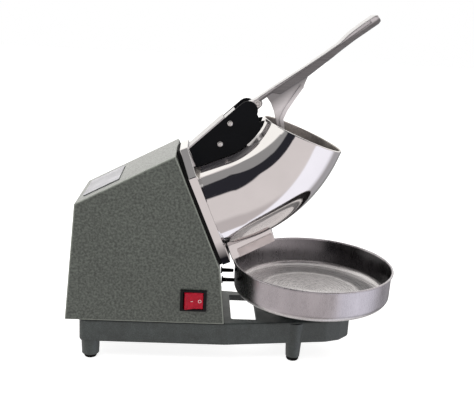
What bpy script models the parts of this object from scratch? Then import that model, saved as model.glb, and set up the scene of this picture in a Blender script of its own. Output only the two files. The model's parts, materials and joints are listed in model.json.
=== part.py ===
"""Shaved ice machine with a catch pan. Millimetres in the constants, metres in the scene.
X points to the front of the machine, Z up, origin at the bottom centre of the bounding box."""

import math

import bmesh
import bpy
from mathutils import Matrix, Vector

MM = 0.001
GAP = 0.3

# Housing, as seen from the side (x, z)
HOUSING_HALF = 64.0
HOUSING_WALL = 1.5
HOUSING_TOP_FRONT = (-81.0, 293.5)
HOUSING_KNEE = (-16.5, 141.5)
HOUSING_FRONT_BOTTOM = (-7.0, 60.3)
HOUSING_REAR_BOTTOM = (-224.5, 60.3)
HOUSING_REAR_TOP = (-211.0, 224.0)

# Rear panel: vents and cord gland, measured up the panel from its lower edge
VENTS = 6
VENT_START = 70.0
VENT_STEP = 14.0
VENT_SIZE = (12.0, 70.0, 4.5)
GLAND_UP = 26.0
GLAND_SIDE = 30.0
GLAND_R = 6.0

# Motor and hopper axis: it leaves the front plate at FACE and rises towards the front
TILT = 23.3
FACE = (-29.75, 213.0)

# Front plate, in its own plane: down is positive
PLATE_THICK = 11.0
PLATE_TOP = -94.0
PLATE_BOTTOM = 68.5
PLATE_CHAMFER = 35.0
PLATE_CORNERS = (4.0, 4.0, 6.0, 6.0, 4.0, 4.0)
GASKET_THICK = 4.4
GASKET_INSET = 3.5
GASKET_WIDTH = 9.0

# Hopper elbow
TUBE_R = 62.5
TUBE_MOUTH_R = 58.5
TUBE_WALL = 3.0
TUBE_STRAIGHT = 39.4
TUBE_BEND_R = 150.0
TUBE_TURN = 46.0
TUBE_MOUTH_STRAIGHT = 7.0
TUBE_LIP_R = 50.0
TUBE_LIP = 8.0
OUTLET_START = 9.0
OUTLET_END = 29.0
OUTLET_HALF = 24.0
HOPPER_BOLT_ANGLES = (45.0, 135.0, 225.0, 315.0)
HOPPER_BOLT_REACH = 55.5
BOLT_R = 2.5
BOLT_HEAD_R = 4.4
BOLT_HOLE_R = 2.8

# Discharge spout under the hopper
SPOUT_END = 66.0
SPOUT_HALF = 27.0
SPOUT_WALL = 2.5
SPOUT_LOW = 79.0

# Cutter
DISC_BACK = 31.0
DISC_THICK = 5.0
DISC_R = 58.0
BLADE_ANGLES = (20.0, 200.0)
BLADE_THICK = 2.0
BLADE_SCREWS = (25.0, 44.0)
NUT_R = 10.0
NUT_THICK = 7.0

# Motor
SHAFT_R = 7.0
SHAFT_END_R = 6.0
MOTOR_R = 46.0
BELL_R = 48.0
BEARING_R = 14.0
FAN_R = 38.0
FAN_BLADES = 6
FAN_PITCH = 35.0
MOTOR_BOLT_ANGLES = (0.0, 90.0, 180.0, 270.0)
MOTOR_BOLT_REACH = 38.0

# Lever, presser and bracket
PIVOT = (12.0, 349.5)
PIN_R = 4.0
LEVER_RISE = 37.0
LEVER_LENGTH = 209.0
EYE_R = 8.0
CLOSE_TURN = 50.0
LEVER_SECTIONS = (
    (0.0, 0.6, 5.6, 9.5), (40.0, 0.2, 6.0, 9.2), (48.0, -7.6, 6.0, 9.2), (91.0, -8.4, 4.9, 9.2),
    (126.0, -6.1, 4.7, 9.4), (148.0, -4.1, 5.2, 10.0), (166.0, -2.8, 8.6, 11.6),
    (188.0, -2.5, 9.7, 12.6), (204.0, -2.4, 9.6, 12.6), (LEVER_LENGTH, -0.8, 8.0, 10.6),
)
CHANNEL_FLOOR = 7.9
CHANNEL = (
    (34.0, 1.9), (150.0, 2.5), (197.0, 4.1), (197.0, 8.0), (168.0, 7.0), (150.0, 3.7),
    (90.0, 3.5), (34.0, 4.2),
)
ROOT_HALF = 9.5
CHEEK = 10.2
WEB_HALF = 4.0
BOLT_ALONG = 15.7
FOOT_FACE = 50.5
FOOT_THICK = 8.0
FOOT_TOP = -54.5
FOOT_LOW = 3.0
FOOT_GROOVES = (-42.0, -28.0, -14.0)
BRACKET_OUT = 18.0
BRACKET_IN = 15.0
EAR_R = 13.0
BRACKET_SCREWS = ((-11.3, 331.5), (-23.2, 303.1))
SCREW_HOLE_R = 2.3

# Base casting
BASE_TOP = 60.0
BASE_SKIRT = 27.5
BASE_PLATE = 9.0
BASE_WALL = 5.0
BASE_OUTLINE = (
    (-206.0, 62.5), (-4.0, 62.5), (140.0, 43.0), (161.0, 35.0), (176.0, 20.0), (180.5, 0.0)
)
WINDOW = (3.5, 40.0, 43.5)
LEG_REAR = (-191.5, 48.0, 12.0, 14.0)
LEG_FRONT = (94.5, 40.0, 10.0, 13.0)
PAD_HEIGHT = 5.5
RAIL_NOTCH = (-3.0, 47.0, 46.0)

# Catch pan
PAN_X = 119.25
PAN_FLOOR = 87.6
PEDESTAL_R = 42.0
PEDESTAL_WALL = 7.0
STOP_HALF = 19.0
STOP_HEIGHT = 109.0

# Rocker switch
SWITCH = (-50.6, 94.8)
SWITCH_W = 36.0
SWITCH_H = 31.0
ROCKER_W = 27.0
ROCKER_H = 24.0
ROCKER_TILT = 10.0
ROCKER_DEPTH = 1.6

# Plain plate on the sloped top: up the slope, then across
TOP_PLATE = (9.0, 63.0, -40.0, 44.0)

COLOURS = {
    "hammered": ((0.105, 0.118, 0.104), 0.45, 0.3),
    "cast_dark": ((0.070, 0.080, 0.078), 0.5, 0.3),
    "rubber": ((0.012, 0.012, 0.012), 0.85, 0.0),
    "polished": ((0.78, 0.75, 0.73), 0.12, 1.0),
    "satin": ((0.62, 0.61, 0.62), 0.3, 1.0),
    "brushed": ((0.45, 0.43, 0.45), 0.32, 1.0),
    "black": ((0.006, 0.007, 0.009), 0.5, 0.0),
    "steel": ((0.45, 0.45, 0.46), 0.3, 1.0),
    "red": ((0.34, 0.018, 0.036), 0.3, 0.0),
    "pale": ((0.72, 0.64, 0.62), 0.5, 0.0),
    "copper_dark": ((0.10, 0.09, 0.09), 0.6, 0.6),
    "white": ((0.62, 0.62, 0.60), 0.5, 0.0),
}

for old in list(bpy.data.objects):
    bpy.data.objects.remove(old, do_unlink=True)

PARTS = bpy.data.collections.new("shaved_ice_machine")
CUTTERS = bpy.data.collections.new("cutters")
for group in (PARTS, CUTTERS):
    bpy.context.scene.collection.children.link(group)

ALONG = Vector((math.cos(math.radians(TILT)), 0.0, math.sin(math.radians(TILT))))
DOWN = Vector((math.sin(math.radians(TILT)), 0.0, -math.cos(math.radians(TILT))))
ORIGIN = Vector((FACE[0], 0.0, FACE[1]))

# Frames: columns are the directions of the drawing's first axis, second axis and depth
SIDE = Matrix(((1, 0, 0, 0), (0, 0, -1, 0), (0, 1, 0, 0), (0, 0, 0, 1)))
PLAN = Matrix.Identity(4)


def frame(first, second, depth, origin):
    matrix = Matrix.Identity(4)
    for column, axis in enumerate((first, second, depth)):
        for row in range(3):
            matrix[row][column] = axis[row]
    matrix.translation = origin
    return matrix


# Drawing plane square to the motor axis: first axis points down-forward, second to -Y, depth ahead
AXIAL = frame(DOWN, Vector((0, -1, 0)), ALONG, ORIGIN)


def along(s, q=0.0, y=0.0):
    """A point s ahead of the front plate's face, q below the motor axis and y across."""
    return ORIGIN + ALONG * s + DOWN * q + Vector((0.0, y, 0.0))


def arc(centre, radius, start, end, steps):
    return [
        (
            centre[0] + radius * math.cos(math.radians(start + (end - start) * i / steps)),
            centre[1] + radius * math.sin(math.radians(start + (end - start) * i / steps)),
        )
        for i in range(steps + 1)
    ]


def rounded(points, radii, steps=5):
    """A convex or concave outline with each corner rounded to its radius."""
    out = []
    count = len(points)
    for i, corner in enumerate(points):
        radius = radii[i] if isinstance(radii, (list, tuple)) else radii
        if radius <= 0:
            out.append(corner)
            continue
        here = Vector(corner)
        before = (Vector(points[i - 1]) - here).normalized()
        after = (Vector(points[(i + 1) % count]) - here).normalized()
        half = before.angle(after) / 2
        reach = radius / math.tan(half)
        centre = here + (before + after).normalized() * (radius / math.sin(half))
        first = here + before * reach - centre
        last = here + after * reach - centre
        sweep = first.angle_signed(last)
        for k in range(steps + 1):
            turn = Matrix.Rotation(-sweep * k / steps, 2)
            point = centre + turn @ first
            out.append((point.x, point.y))
    return out


def material_for(name, colour):
    base, rough, metal = COLOURS[colour]
    made = bpy.data.materials.new(name)
    made.use_nodes = True
    shader = made.node_tree.nodes["Principled BSDF"]
    shader.inputs["Base Color"].default_value = (*base, 1.0)
    shader.inputs["Roughness"].default_value = rough
    shader.inputs["Metallic"].default_value = metal
    made.diffuse_color = (*base, 1.0)
    return made


def object_from(name, bm, colour, smooth=False):
    bmesh.ops.recalc_face_normals(bm, faces=bm.faces)
    if bm.calc_volume(signed=True) < 0:
        bmesh.ops.reverse_faces(bm, faces=bm.faces)
    mesh = bpy.data.meshes.new(name)
    bm.to_mesh(mesh)
    bm.free()
    obj = bpy.data.objects.new(name, mesh)
    if colour:
        PARTS.objects.link(obj)
        mesh.materials.append(material_for(name, colour))
    else:
        CUTTERS.objects.link(obj)
        obj.hide_render = True
        obj.display_type = "WIRE"
    for face in mesh.polygons:
        face.use_smooth = smooth
    return obj


def prism(name, outline, low, high, place, colour=None, holes=()):
    """An outline pushed from one depth to another, set in place by its frame."""
    bm = bmesh.new()
    loops = [outline, *holes]
    edges = []
    for loop in loops:
        ring = [bm.verts.new((x * MM, y * MM, low * MM)) for x, y in loop]
        edges += [bm.edges.new((ring[i - 1], ring[i])) for i in range(len(ring))]
    if holes:
        bmesh.ops.triangle_fill(bm, use_beauty=True, use_dissolve=True, edges=edges)
    else:
        bm.faces.new(ring)
    faces = list(bm.faces)
    pushed = bmesh.ops.extrude_face_region(bm, geom=faces)
    verts = [item for item in pushed["geom"] if isinstance(item, bmesh.types.BMVert)]
    bmesh.ops.translate(bm, verts=verts, vec=(0, 0, (high - low) * MM))
    matrix = place.copy()
    matrix.translation = place.translation * MM
    bm.transform(matrix)
    return object_from(name, bm, colour)


def box(name, size, centre, colour=None, turn=None):
    bm = bmesh.new()
    bmesh.ops.create_cube(bm, size=1.0)
    bmesh.ops.scale(bm, verts=bm.verts, vec=[side * MM for side in size])
    matrix = (turn or Matrix.Identity(3)).to_4x4()
    matrix.translation = Vector(centre) * MM
    bm.transform(matrix)
    return object_from(name, bm, colour)


def cylinder(name, radius, depth, centre, axis, colour=None, end_radius=None, sides=32):
    bm = bmesh.new()
    bmesh.ops.create_cone(
        bm, cap_ends=True, segments=sides, depth=depth * MM, radius1=radius * MM,
        radius2=(radius if end_radius is None else end_radius) * MM,
    )
    matrix = Vector(axis).to_track_quat("Z", "Y").to_matrix().to_4x4()
    matrix.translation = Vector(centre) * MM
    bm.transform(matrix)
    return object_from(name, bm, colour, smooth=sides > 8)


def lathe(name, profile, origin, axis, colour=None, steps=48):
    """A profile (radius, height) spun about the axis; it runs down the outer side."""
    mesh = bpy.data.meshes.new(name)
    points = [(r * MM, 0.0, h * MM) for r, h in profile]
    closed = profile[0][0] > 0
    lines = [(i, i + 1) for i in range(len(points) - 1)]
    if closed:
        lines.append((len(points) - 1, 0))
    mesh.from_pydata(points, lines, [])
    obj = bpy.data.objects.new(name, mesh)
    if colour:
        PARTS.objects.link(obj)
        mesh.materials.append(material_for(name, colour))
    else:
        CUTTERS.objects.link(obj)
        obj.hide_render = True
        obj.display_type = "WIRE"
    obj.rotation_euler = Vector(axis).to_track_quat("Z", "Y").to_euler()
    obj.location = Vector(origin) * MM
    screw = obj.modifiers.new("Spin", "SCREW")
    screw.axis = "Z"
    screw.angle = math.radians(360)
    screw.steps = screw.render_steps = steps
    screw.use_merge_vertices = True
    screw.merge_threshold = 0.00001
    screw.use_smooth_shade = True
    return obj


def boolean(obj, operation, *others):
    for other in others:
        step = obj.modifiers.new(operation.title(), "BOOLEAN")
        step.operation = operation
        step.solver = "EXACT"
        step.object = other
    return obj


def cut(obj, *others):
    return boolean(obj, "DIFFERENCE", *others)


def join(obj, *others):
    return boolean(obj, "UNION", *others)


def bevel(obj, width, segments=2, angle=40.0):
    step = obj.modifiers.new("Edges", "BEVEL")
    step.width = width * MM
    step.segments = segments
    step.limit_method = "ANGLE"
    step.angle_limit = math.radians(angle)
    return obj


def origin_at(obj, point):
    """Moves the object's origin without moving its shape."""
    bpy.context.view_layer.update()
    target = Vector(point) * MM
    local = obj.matrix_world.inverted() @ target
    obj.data.transform(Matrix.Translation(-local))
    obj.matrix_world = obj.matrix_world @ Matrix.Translation(local)
    return obj


def inset(outline, distance):
    """An outline moved inwards; its corners run anticlockwise."""
    out = []
    count = len(outline)
    for i in range(count):
        here = Vector(outline[i])
        before = (here - Vector(outline[i - 1])).normalized()
        after = (Vector(outline[(i + 1) % count]) - here).normalized()
        left_before = Vector((-before.y, before.x))
        left_after = Vector((-after.y, after.x))
        middle = (left_before + left_after).normalized()
        point = here + middle * (distance / middle.dot(left_before))
        out.append((point.x, point.y))
    return out


def strip(points, thickness):
    """A closed outline around a folded sheet: the sheet lies to the left of the line."""
    back = []
    for i, corner in enumerate(points):
        here = Vector(corner)
        before = (here - Vector(points[max(i - 1, 0)])) if i else None
        after = (Vector(points[i + 1]) - here) if i + 1 < len(points) else None
        ways = [way.normalized() for way in (before, after) if way is not None]
        lefts = [Vector((-way.y, way.x)) for way in ways]
        middle = sum(lefts, Vector((0.0, 0.0))).normalized()
        point = here + middle * (thickness / middle.dot(lefts[0]))
        back.append((point.x, point.y))
    return list(points) + back[::-1]


def side_point(s, q):
    point = along(s, q)
    return (point.x, point.z)


def axial(s):
    """The drawing plane square to the motor axis, s ahead of the plate's face."""
    return frame(DOWN, Vector((0, -1, 0)), ALONG, along(s))


# ---------------------------------------------------------------- base casting and feet
base_edge = [(x, -y) for x, y in BASE_OUTLINE] + [(x, y) for x, y in BASE_OUTLINE[-2::-1]]
base = prism(
    "base_frame", rounded(base_edge, [8, 30, 20, 6, 6, 8, 6, 6, 20, 30, 8]),
    BASE_SKIRT, BASE_TOP, PLAN, "cast_dark",
)
bevel(base, 3.5, 2, 60)
pocket = prism("pocket", inset(base_edge, BASE_WALL), BASE_SKIRT - 5, BASE_TOP - BASE_PLATE, PLAN)
cut(base, pocket)
window_start, window_end, window_half = WINDOW
window = prism(
    "window",
    rounded(
        [(window_start, -window_half), (window_end, -window_half),
         (window_end, window_half), (window_start, window_half)], 3.0, 3,
    ),
    BASE_SKIRT, BASE_TOP + 5, PLAN,
)
feet = []
for spot, tag in ((LEG_REAR, "rear"), (LEG_FRONT, "front")):
    for sign, side in ((-1, "near"), (1, "far")):
        leg_height = BASE_TOP - 2 - PAD_HEIGHT - GAP
        leg = cylinder(
            f"leg_{tag}_{side}", spot[2], leg_height,
            (spot[0], sign * spot[1], PAD_HEIGHT + GAP + leg_height / 2), (0, 0, 1),
            end_radius=spot[3], sides=20,
        )
        join(base, leg)
        feet.append(
            lathe(
                f"foot_pad_{tag}_{side}",
                [(0, PAD_HEIGHT), (9, PAD_HEIGHT), (9, 2), (8, 0), (0, 0)],
                (spot[0], sign * spot[1], 0), (0, 0, 1), "rubber", 20,
            )
        )
notch_start, notch_end, notch_inside = RAIL_NOTCH
notch = prism(
    "rail_notch",
    [(notch_start, notch_inside), (notch_end, notch_inside), (notch_end, 80), (notch_start, 80)],
    BASE_SKIRT - 5, BASE_TOP - BASE_PLATE, PLAN,
)
cut(base, window, notch)

# ---------------------------------------------------------------- housing
shell_side = [
    HOUSING_REAR_BOTTOM, HOUSING_FRONT_BOTTOM, HOUSING_KNEE, HOUSING_TOP_FRONT, HOUSING_REAR_TOP,
]
shell = prism("housing_shell", shell_side, -HOUSING_HALF, HOUSING_HALF, SIDE, "hammered")
bevel(shell, 1.6, 2, 30)
rear_way = (Vector(HOUSING_REAR_TOP) - Vector(HOUSING_REAR_BOTTOM)).normalized()
top_way = (Vector(HOUSING_TOP_FRONT) - Vector(HOUSING_REAR_TOP)).normalized()
inner_corner = inset(shell_side, HOUSING_WALL)
rear_low = Vector(inner_corner[0])
top_far = Vector(inner_corner[3]) + top_way * 120
hollow = prism(
    "hollow",
    [
        (rear_low.x, rear_low.y), (BASE_OUTLINE[0][0] + 2, rear_low.y),
        (BASE_OUTLINE[0][0] + 2, BASE_SKIRT), (top_far.x, BASE_SKIRT),
        (top_far.x, top_far.y), inner_corner[4],
    ],
    -HOUSING_HALF + HOUSING_WALL, HOUSING_HALF - HOUSING_WALL, SIDE,
)
cut(shell, hollow)
rear_turn = Matrix.Rotation(math.atan2(rear_way.x, rear_way.y), 3, "Y")
for row in range(VENTS):
    spot = Vector(HOUSING_REAR_BOTTOM) + rear_way * (VENT_START + row * VENT_STEP)
    cut(shell, box(f"vent_{row}", VENT_SIZE, (spot.x, 0, spot.y), turn=rear_turn))
switch_hole = box(
    "switch_hole", (SWITCH_W - 5, 12, SWITCH_H - 3), (SWITCH[0], -HOUSING_HALF, SWITCH[1])
)
gland_spot = Vector(HOUSING_REAR_BOTTOM) + rear_way * GLAND_UP
gland_axis = Vector((-rear_way.y, 0, rear_way.x))
gland_centre = Vector((gland_spot.x, GLAND_SIDE, gland_spot.y))
gland_hole = cylinder("gland_hole", GLAND_R + 0.4, 20, gland_centre, gland_axis, sides=24)
cut(shell, switch_hole, gland_hole)

gland = lathe(
    "cord_gland",
    [(GLAND_R, 11.4), (8.5, 9), (9.5, 9), (9.5, GAP), (GLAND_R, GAP), (GLAND_R, -8), (3.6, -8),
     (3.6, 11.4)],
    gland_centre, gland_axis, "black", 20,
)

front_inside = HOUSING_HALF - HOUSING_WALL - GAP
panel_line = [
    side_point(-16.2, -91.5), side_point(-16.2, 70.6),
    (HOUSING_FRONT_BOTTOM[0] - 0.3, HOUSING_FRONT_BOTTOM[1] + GAP),
]
bulkhead = prism(
    "front_bulkhead", strip(panel_line[::-1], HOUSING_WALL), -front_inside, front_inside, SIDE,
    "hammered",
)
motor_way = cylinder("motor_way", 51.0, 30, along(-17), ALONG, sides=48)
cut(bulkhead, motor_way)

# ---------------------------------------------------------------- front plate and gasket
shoulder = HOUSING_HALF - PLATE_CHAMFER
plate_edge = [
    (PLATE_TOP, -shoulder), (PLATE_TOP + PLATE_CHAMFER, -HOUSING_HALF),
    (PLATE_BOTTOM, -HOUSING_HALF), (PLATE_BOTTOM, HOUSING_HALF),
    (PLATE_TOP + PLATE_CHAMFER, HOUSING_HALF), (PLATE_TOP, shoulder),
]
plate = prism(
    "front_plate", rounded(plate_edge, PLATE_CORNERS, 4), -PLATE_THICK, 0, AXIAL, "polished"
)
bevel(plate, 1.2, 2, 60)
seal_hole = cylinder("seal_hole", 12.3, 40, along(0), ALONG)
cut(plate, seal_hole)
gasket = prism(
    "plate_gasket", rounded(inset(plate_edge, 1.5), [r - 1.0 for r in PLATE_CORNERS], 4),
    -PLATE_THICK - GASKET_THICK, -PLATE_THICK - GAP, AXIAL, "rubber",
    holes=[rounded(inset(plate_edge, GASKET_WIDTH), 3.0, 4)],
)

# ---------------------------------------------------------------- hopper
bend_centre = along(TUBE_STRAIGHT, -TUBE_BEND_R)
mouth_angle = TILT - 90 + TUBE_TURN


def tube(name, radius, mouth_radius, start, beyond, colour=None):
    """A round bar along the hopper's path; its radius narrows round the bend."""
    way = [along(start), along(TUBE_STRAIGHT)]
    radii = [1.0, 1.0]
    steps = 12
    for i in range(1, steps + 1):
        angle = math.radians(TILT - 90 + TUBE_TURN * i / steps)
        way.append(bend_centre + Vector((math.cos(angle), 0, math.sin(angle))) * TUBE_BEND_R)
        radii.append(1.0 + (mouth_radius / radius - 1.0) * i / steps)
    out = Vector((-math.sin(math.radians(mouth_angle)), 0, math.cos(math.radians(mouth_angle))))
    way.append(way[-1] + out * (TUBE_MOUTH_STRAIGHT + beyond))
    radii.append(mouth_radius / radius)
    data = bpy.data.curves.new(name, "CURVE")
    data.dimensions = "3D"
    data.bevel_depth = radius * MM
    data.bevel_resolution = 9
    data.use_fill_caps = True
    line = data.splines.new("POLY")
    line.points.add(len(way) - 1)
    for spot, point, scale in zip(line.points, way, radii):
        spot.co = (*(point * MM), 1.0)
        spot.radius = scale
    curve = bpy.data.objects.new(name + "_path", data)
    CUTTERS.objects.link(curve)
    bpy.context.view_layer.update()
    graph = bpy.context.evaluated_depsgraph_get()
    mesh = bpy.data.meshes.new_from_object(curve.evaluated_get(graph))
    bm = bmesh.new()
    bm.from_mesh(mesh)
    bm.transform(curve.matrix_world)
    bpy.data.objects.remove(curve, do_unlink=True)
    bmesh.ops.remove_doubles(bm, verts=bm.verts, dist=0.000001)
    return object_from(name, bm, colour, smooth=True)


hopper = tube("hopper", TUBE_R, TUBE_MOUTH_R, GAP, 0, "polished")
throat = tube("throat", TUBE_R - TUBE_WALL, TUBE_MOUTH_R - TUBE_WALL, TUBE_LIP + GAP, 8)
lip_bore = cylinder("lip_bore", TUBE_LIP_R, 20, along(0), ALONG, sides=40)
outlet = prism(
    "outlet",
    rounded([(30, -OUTLET_HALF), (80, -OUTLET_HALF), (80, OUTLET_HALF), (30, OUTLET_HALF)], 3, 3),
    OUTLET_START, OUTLET_END, AXIAL,
)
cut(hopper, throat, lip_bore, outlet)
bolt_seat = -PLATE_THICK - GAP
for number, degrees in enumerate(HOPPER_BOLT_ANGLES, 1):
    turn = math.radians(degrees)
    q, y = HOPPER_BOLT_REACH * math.cos(turn), HOPPER_BOLT_REACH * math.sin(turn)
    hole = cylinder(f"hopper_hole_{number}", BOLT_HOLE_R, 40, along(-13.4, q, y), ALONG, sides=12)
    cut(plate, hole)
    cut(hopper, hole)
    lathe(
        f"hopper_bolt_{number}",
        [(0, 6), (BOLT_R, 6), (BOLT_R, bolt_seat), (BOLT_HEAD_R, bolt_seat),
         (BOLT_HEAD_R, bolt_seat - 3.6), (0, bolt_seat - 3.6)],
        along(0, q, y), ALONG, "steel", 12,
    )

# ---------------------------------------------------------------- discharge spout
spout_outline = [
    side_point(0.4, 40), side_point(SPOUT_END, 40), side_point(SPOUT_END, SPOUT_LOW - 6),
    side_point(0.4, SPOUT_LOW),
]
spout = prism("discharge_spout", spout_outline, -SPOUT_HALF, SPOUT_HALF, SIDE, "polished")
bevel(spout, 1.5, 2, 60)
chute = prism(
    "chute",
    [side_point(0.4 + SPOUT_WALL, 30), side_point(SPOUT_END - SPOUT_WALL, 30),
     side_point(SPOUT_END - SPOUT_WALL, 100), side_point(0.4 + SPOUT_WALL, 100)],
    -SPOUT_HALF + SPOUT_WALL, SPOUT_HALF - SPOUT_WALL, SIDE,
)
tube_room = tube("tube_room", TUBE_R + GAP, TUBE_MOUTH_R + GAP, -2, 0)
cut(spout, chute, tube_room)
spout_plate = prism(
    "spout_plate",
    rounded([side_point(12, SPOUT_LOW - 2), side_point(SPOUT_END - 1, SPOUT_LOW - 6.8),
             side_point(SPOUT_END - 1, SPOUT_LOW - 19), side_point(12, SPOUT_LOW - 14)],
            1.0, 2),
    SPOUT_HALF + GAP, SPOUT_HALF + GAP + 0.8, SIDE, "pale",
)

# ---------------------------------------------------------------- cutter
disc_front = DISC_BACK + DISC_THICK
disc = lathe(
    "cutter_disc",
    [(DISC_R - 0.8, DISC_THICK), (DISC_R, DISC_THICK - 0.8), (DISC_R, 0.8), (DISC_R - 0.8, 0),
     (SHAFT_END_R + GAP, 0), (SHAFT_END_R + GAP, DISC_THICK)],
    along(DISC_BACK), ALONG, "steel", 44,
)
for number, degrees in enumerate(BLADE_ANGLES, 1):
    turn = math.radians(degrees)
    radial = DOWN * math.cos(turn) + Vector((0, math.sin(turn), 0))
    across = ALONG.cross(radial)
    place = frame(radial, across, ALONG, along(0))
    slot = prism(
        f"slot_{number}", [(15, -2.5), (54, -2.5), (54, 2.5), (15, 2.5)], DISC_BACK - 3,
        disc_front + 3, place,
    )
    cut(disc, slot)
    blade = prism(
        f"blade_{number}", [(16, 1.5), (53, 1.5), (51, 15), (18, 15)], disc_front + GAP,
        disc_front + GAP + BLADE_THICK, place, "satin",
    )
    for spot, reach in enumerate(BLADE_SCREWS, 1):
        centre = along(disc_front) + radial * reach + across * 9
        hole = cylinder(f"blade_hole_{number}{spot}", SCREW_HOLE_R, 20, centre, ALONG, sides=12)
        cut(blade, hole)
        cut(disc, hole)
        lathe(
            f"blade_screw_{number}{spot}",
            [(0, 4.6), (2.6, 4.6), (3.6, 3.8), (3.6, 2.6), (2.0, 2.6), (2.0, -4), (0, -4)],
            centre, ALONG, "steel", 12,
        )

nut = cylinder(
    "hub_nut", NUT_R, NUT_THICK, along(disc_front + GAP + NUT_THICK / 2), ALONG, "steel", sides=6
)
bevel(nut, 0.6, 1, 40)
cut(nut, cylinder("nut_bore", SHAFT_END_R + GAP, 20, along(disc_front + 4), ALONG, sides=24))

# ---------------------------------------------------------------- motor
shaft = lathe(
    "motor_shaft",
    [(0, 46), (SHAFT_END_R - 1, 46), (SHAFT_END_R, 45), (SHAFT_END_R, DISC_BACK - GAP),
     (SHAFT_R, DISC_BACK - GAP), (SHAFT_R, -148), (0, -148)],
    along(0), ALONG, "steel", 24,
)
lathe(
    "shaft_seal", [(12, -2), (12, -10), (SHAFT_R + GAP, -10), (SHAFT_R + GAP, -2)],
    along(0), ALONG, "rubber", 24,
)
lathe(
    "rotor_core", [(26.5, -44), (26.5, -103), (SHAFT_R + GAP, -103), (SHAFT_R + GAP, -44)],
    along(0), ALONG, "copper_dark", 28,
)
lathe(
    "stator_core", [(42.6, -42), (42.6, -105), (27.2, -105), (27.2, -42)],
    along(0), ALONG, "copper_dark", 28,
)
lathe(
    "motor_case", [(MOTOR_R, -31), (MOTOR_R, -118), (43, -118), (43, -31)],
    along(0), ALONG, "satin", 36,
)
front_bell = lathe(
    "front_bell",
    [(BELL_R, -PLATE_THICK - GAP), (BELL_R, -30), (MOTOR_R - 0.2, -30), (MOTOR_R - 0.2, -30.7),
     (18, -30.7), (18, -36), (BEARING_R + GAP, -36), (BEARING_R + GAP, -26), (9, -26),
     (9, -PLATE_THICK - GAP)],
    along(0), ALONG, "satin", 36,
)
rear_bell = lathe(
    "rear_bell",
    [(18, -112), (18, -118.3), (BELL_R, -118.3), (BELL_R, -130), (9, -130), (9, -125),
     (BEARING_R + GAP, -125), (BEARING_R + GAP, -112)],
    along(0), ALONG, "satin", 36,
)
for name, top in (("front_bearing", -26.3), ("rear_bearing", -114.0)):
    lathe(
        name, [(BEARING_R, top), (BEARING_R, top - 9), (SHAFT_R + GAP, top - 9),
               (SHAFT_R + GAP, top)],
        along(0), ALONG, "steel", 24,
    )
for number, degrees in enumerate(MOTOR_BOLT_ANGLES, 1):
    turn = math.radians(degrees)
    q, y = MOTOR_BOLT_REACH * math.cos(turn), MOTOR_BOLT_REACH * math.sin(turn)
    hole = cylinder(f"motor_hole_{number}", BOLT_HOLE_R, 50, along(-2, q, y), ALONG, sides=12)
    cut(plate, hole)
    cut(front_bell, hole)
    lathe(
        f"motor_bolt_{number}",
        [(0, 3.4), (3.4, 3.4), (BOLT_HEAD_R, 2.4), (BOLT_HEAD_R, GAP), (BOLT_R, GAP),
         (BOLT_R, -25), (0, -25)],
        along(0, q, y), ALONG, "steel", 12,
    )
fan = lathe(
    "cooling_fan", [(12, -133), (12, -145), (SHAFT_R + GAP, -145), (SHAFT_R + GAP, -133)],
    along(0), ALONG, "black", 20,
)
for number in range(FAN_BLADES):
    turn = math.tau * number / FAN_BLADES
    radial = DOWN * math.cos(turn) + Vector((0, math.sin(turn), 0))
    across = ALONG.cross(radial)
    pitch = Matrix.Rotation(math.radians(FAN_PITCH), 3, radial)
    place = frame(radial, pitch @ across, pitch @ ALONG, along(-139))
    join(fan, prism(f"fan_blade_{number}", [(10, -7), (FAN_R, -8), (FAN_R, 8), (10, 7)],
                    -0.9, 0.9, place))

# ---------------------------------------------------------------- bracket
pivot = Vector((PIVOT[0], 0, PIVOT[1]))
centre_2d = (bend_centre.x, bend_centre.z)


def bend_edge(first, last, start, end, steps):
    """Points round the bend centre, on a radius that runs from first to last."""
    return [
        arc(centre_2d, first + (last - first) * i / steps, start + (end - start) * i / steps,
            start, 1)[0]
        for i in range(steps + 1)
    ]


top_left = Vector(side_point(0.4, -88.5))
reach = Vector(PIVOT) - top_left
lean = math.degrees(math.atan2(reach.y, reach.x))
lean += math.degrees(math.asin(EAR_R / reach.length))
strap_way = Vector((math.cos(math.radians(lean)), math.sin(math.radians(lean))))
strap_up = Vector((-strap_way.y, strap_way.x))
plate_side = (
    [side_point(0.4, -61.3)]
    + bend_edge(88.7, 93.0, TILT - 90, mouth_angle - 2.0, 8)
    + [(35.0, 337.4), (30.5, 336.6), (28.0, 334.6), (26.6, 337.0), (27.6, 340.0)]
    + arc(PIVOT, EAR_R, -20, lean + 90, 8)
    + [(top_left.x, top_left.y)]
)
for name, low in (("bracket_near", BRACKET_IN), ("bracket_far", -BRACKET_OUT)):
    side_plate = prism(name, plate_side, low, low + BRACKET_OUT - BRACKET_IN, SIDE, "black")
    pin_seat = (PIVOT[0], math.copysign(BRACKET_IN, -low), PIVOT[1])
    cut(side_plate, cylinder(f"{name}_pin", PIN_R + GAP, 4.4, pin_seat, (0, 1, 0), sides=24))


def on_strap(u, v):
    point = top_left + strap_way * u + strap_up * v
    return (point.x, point.y)


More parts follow.
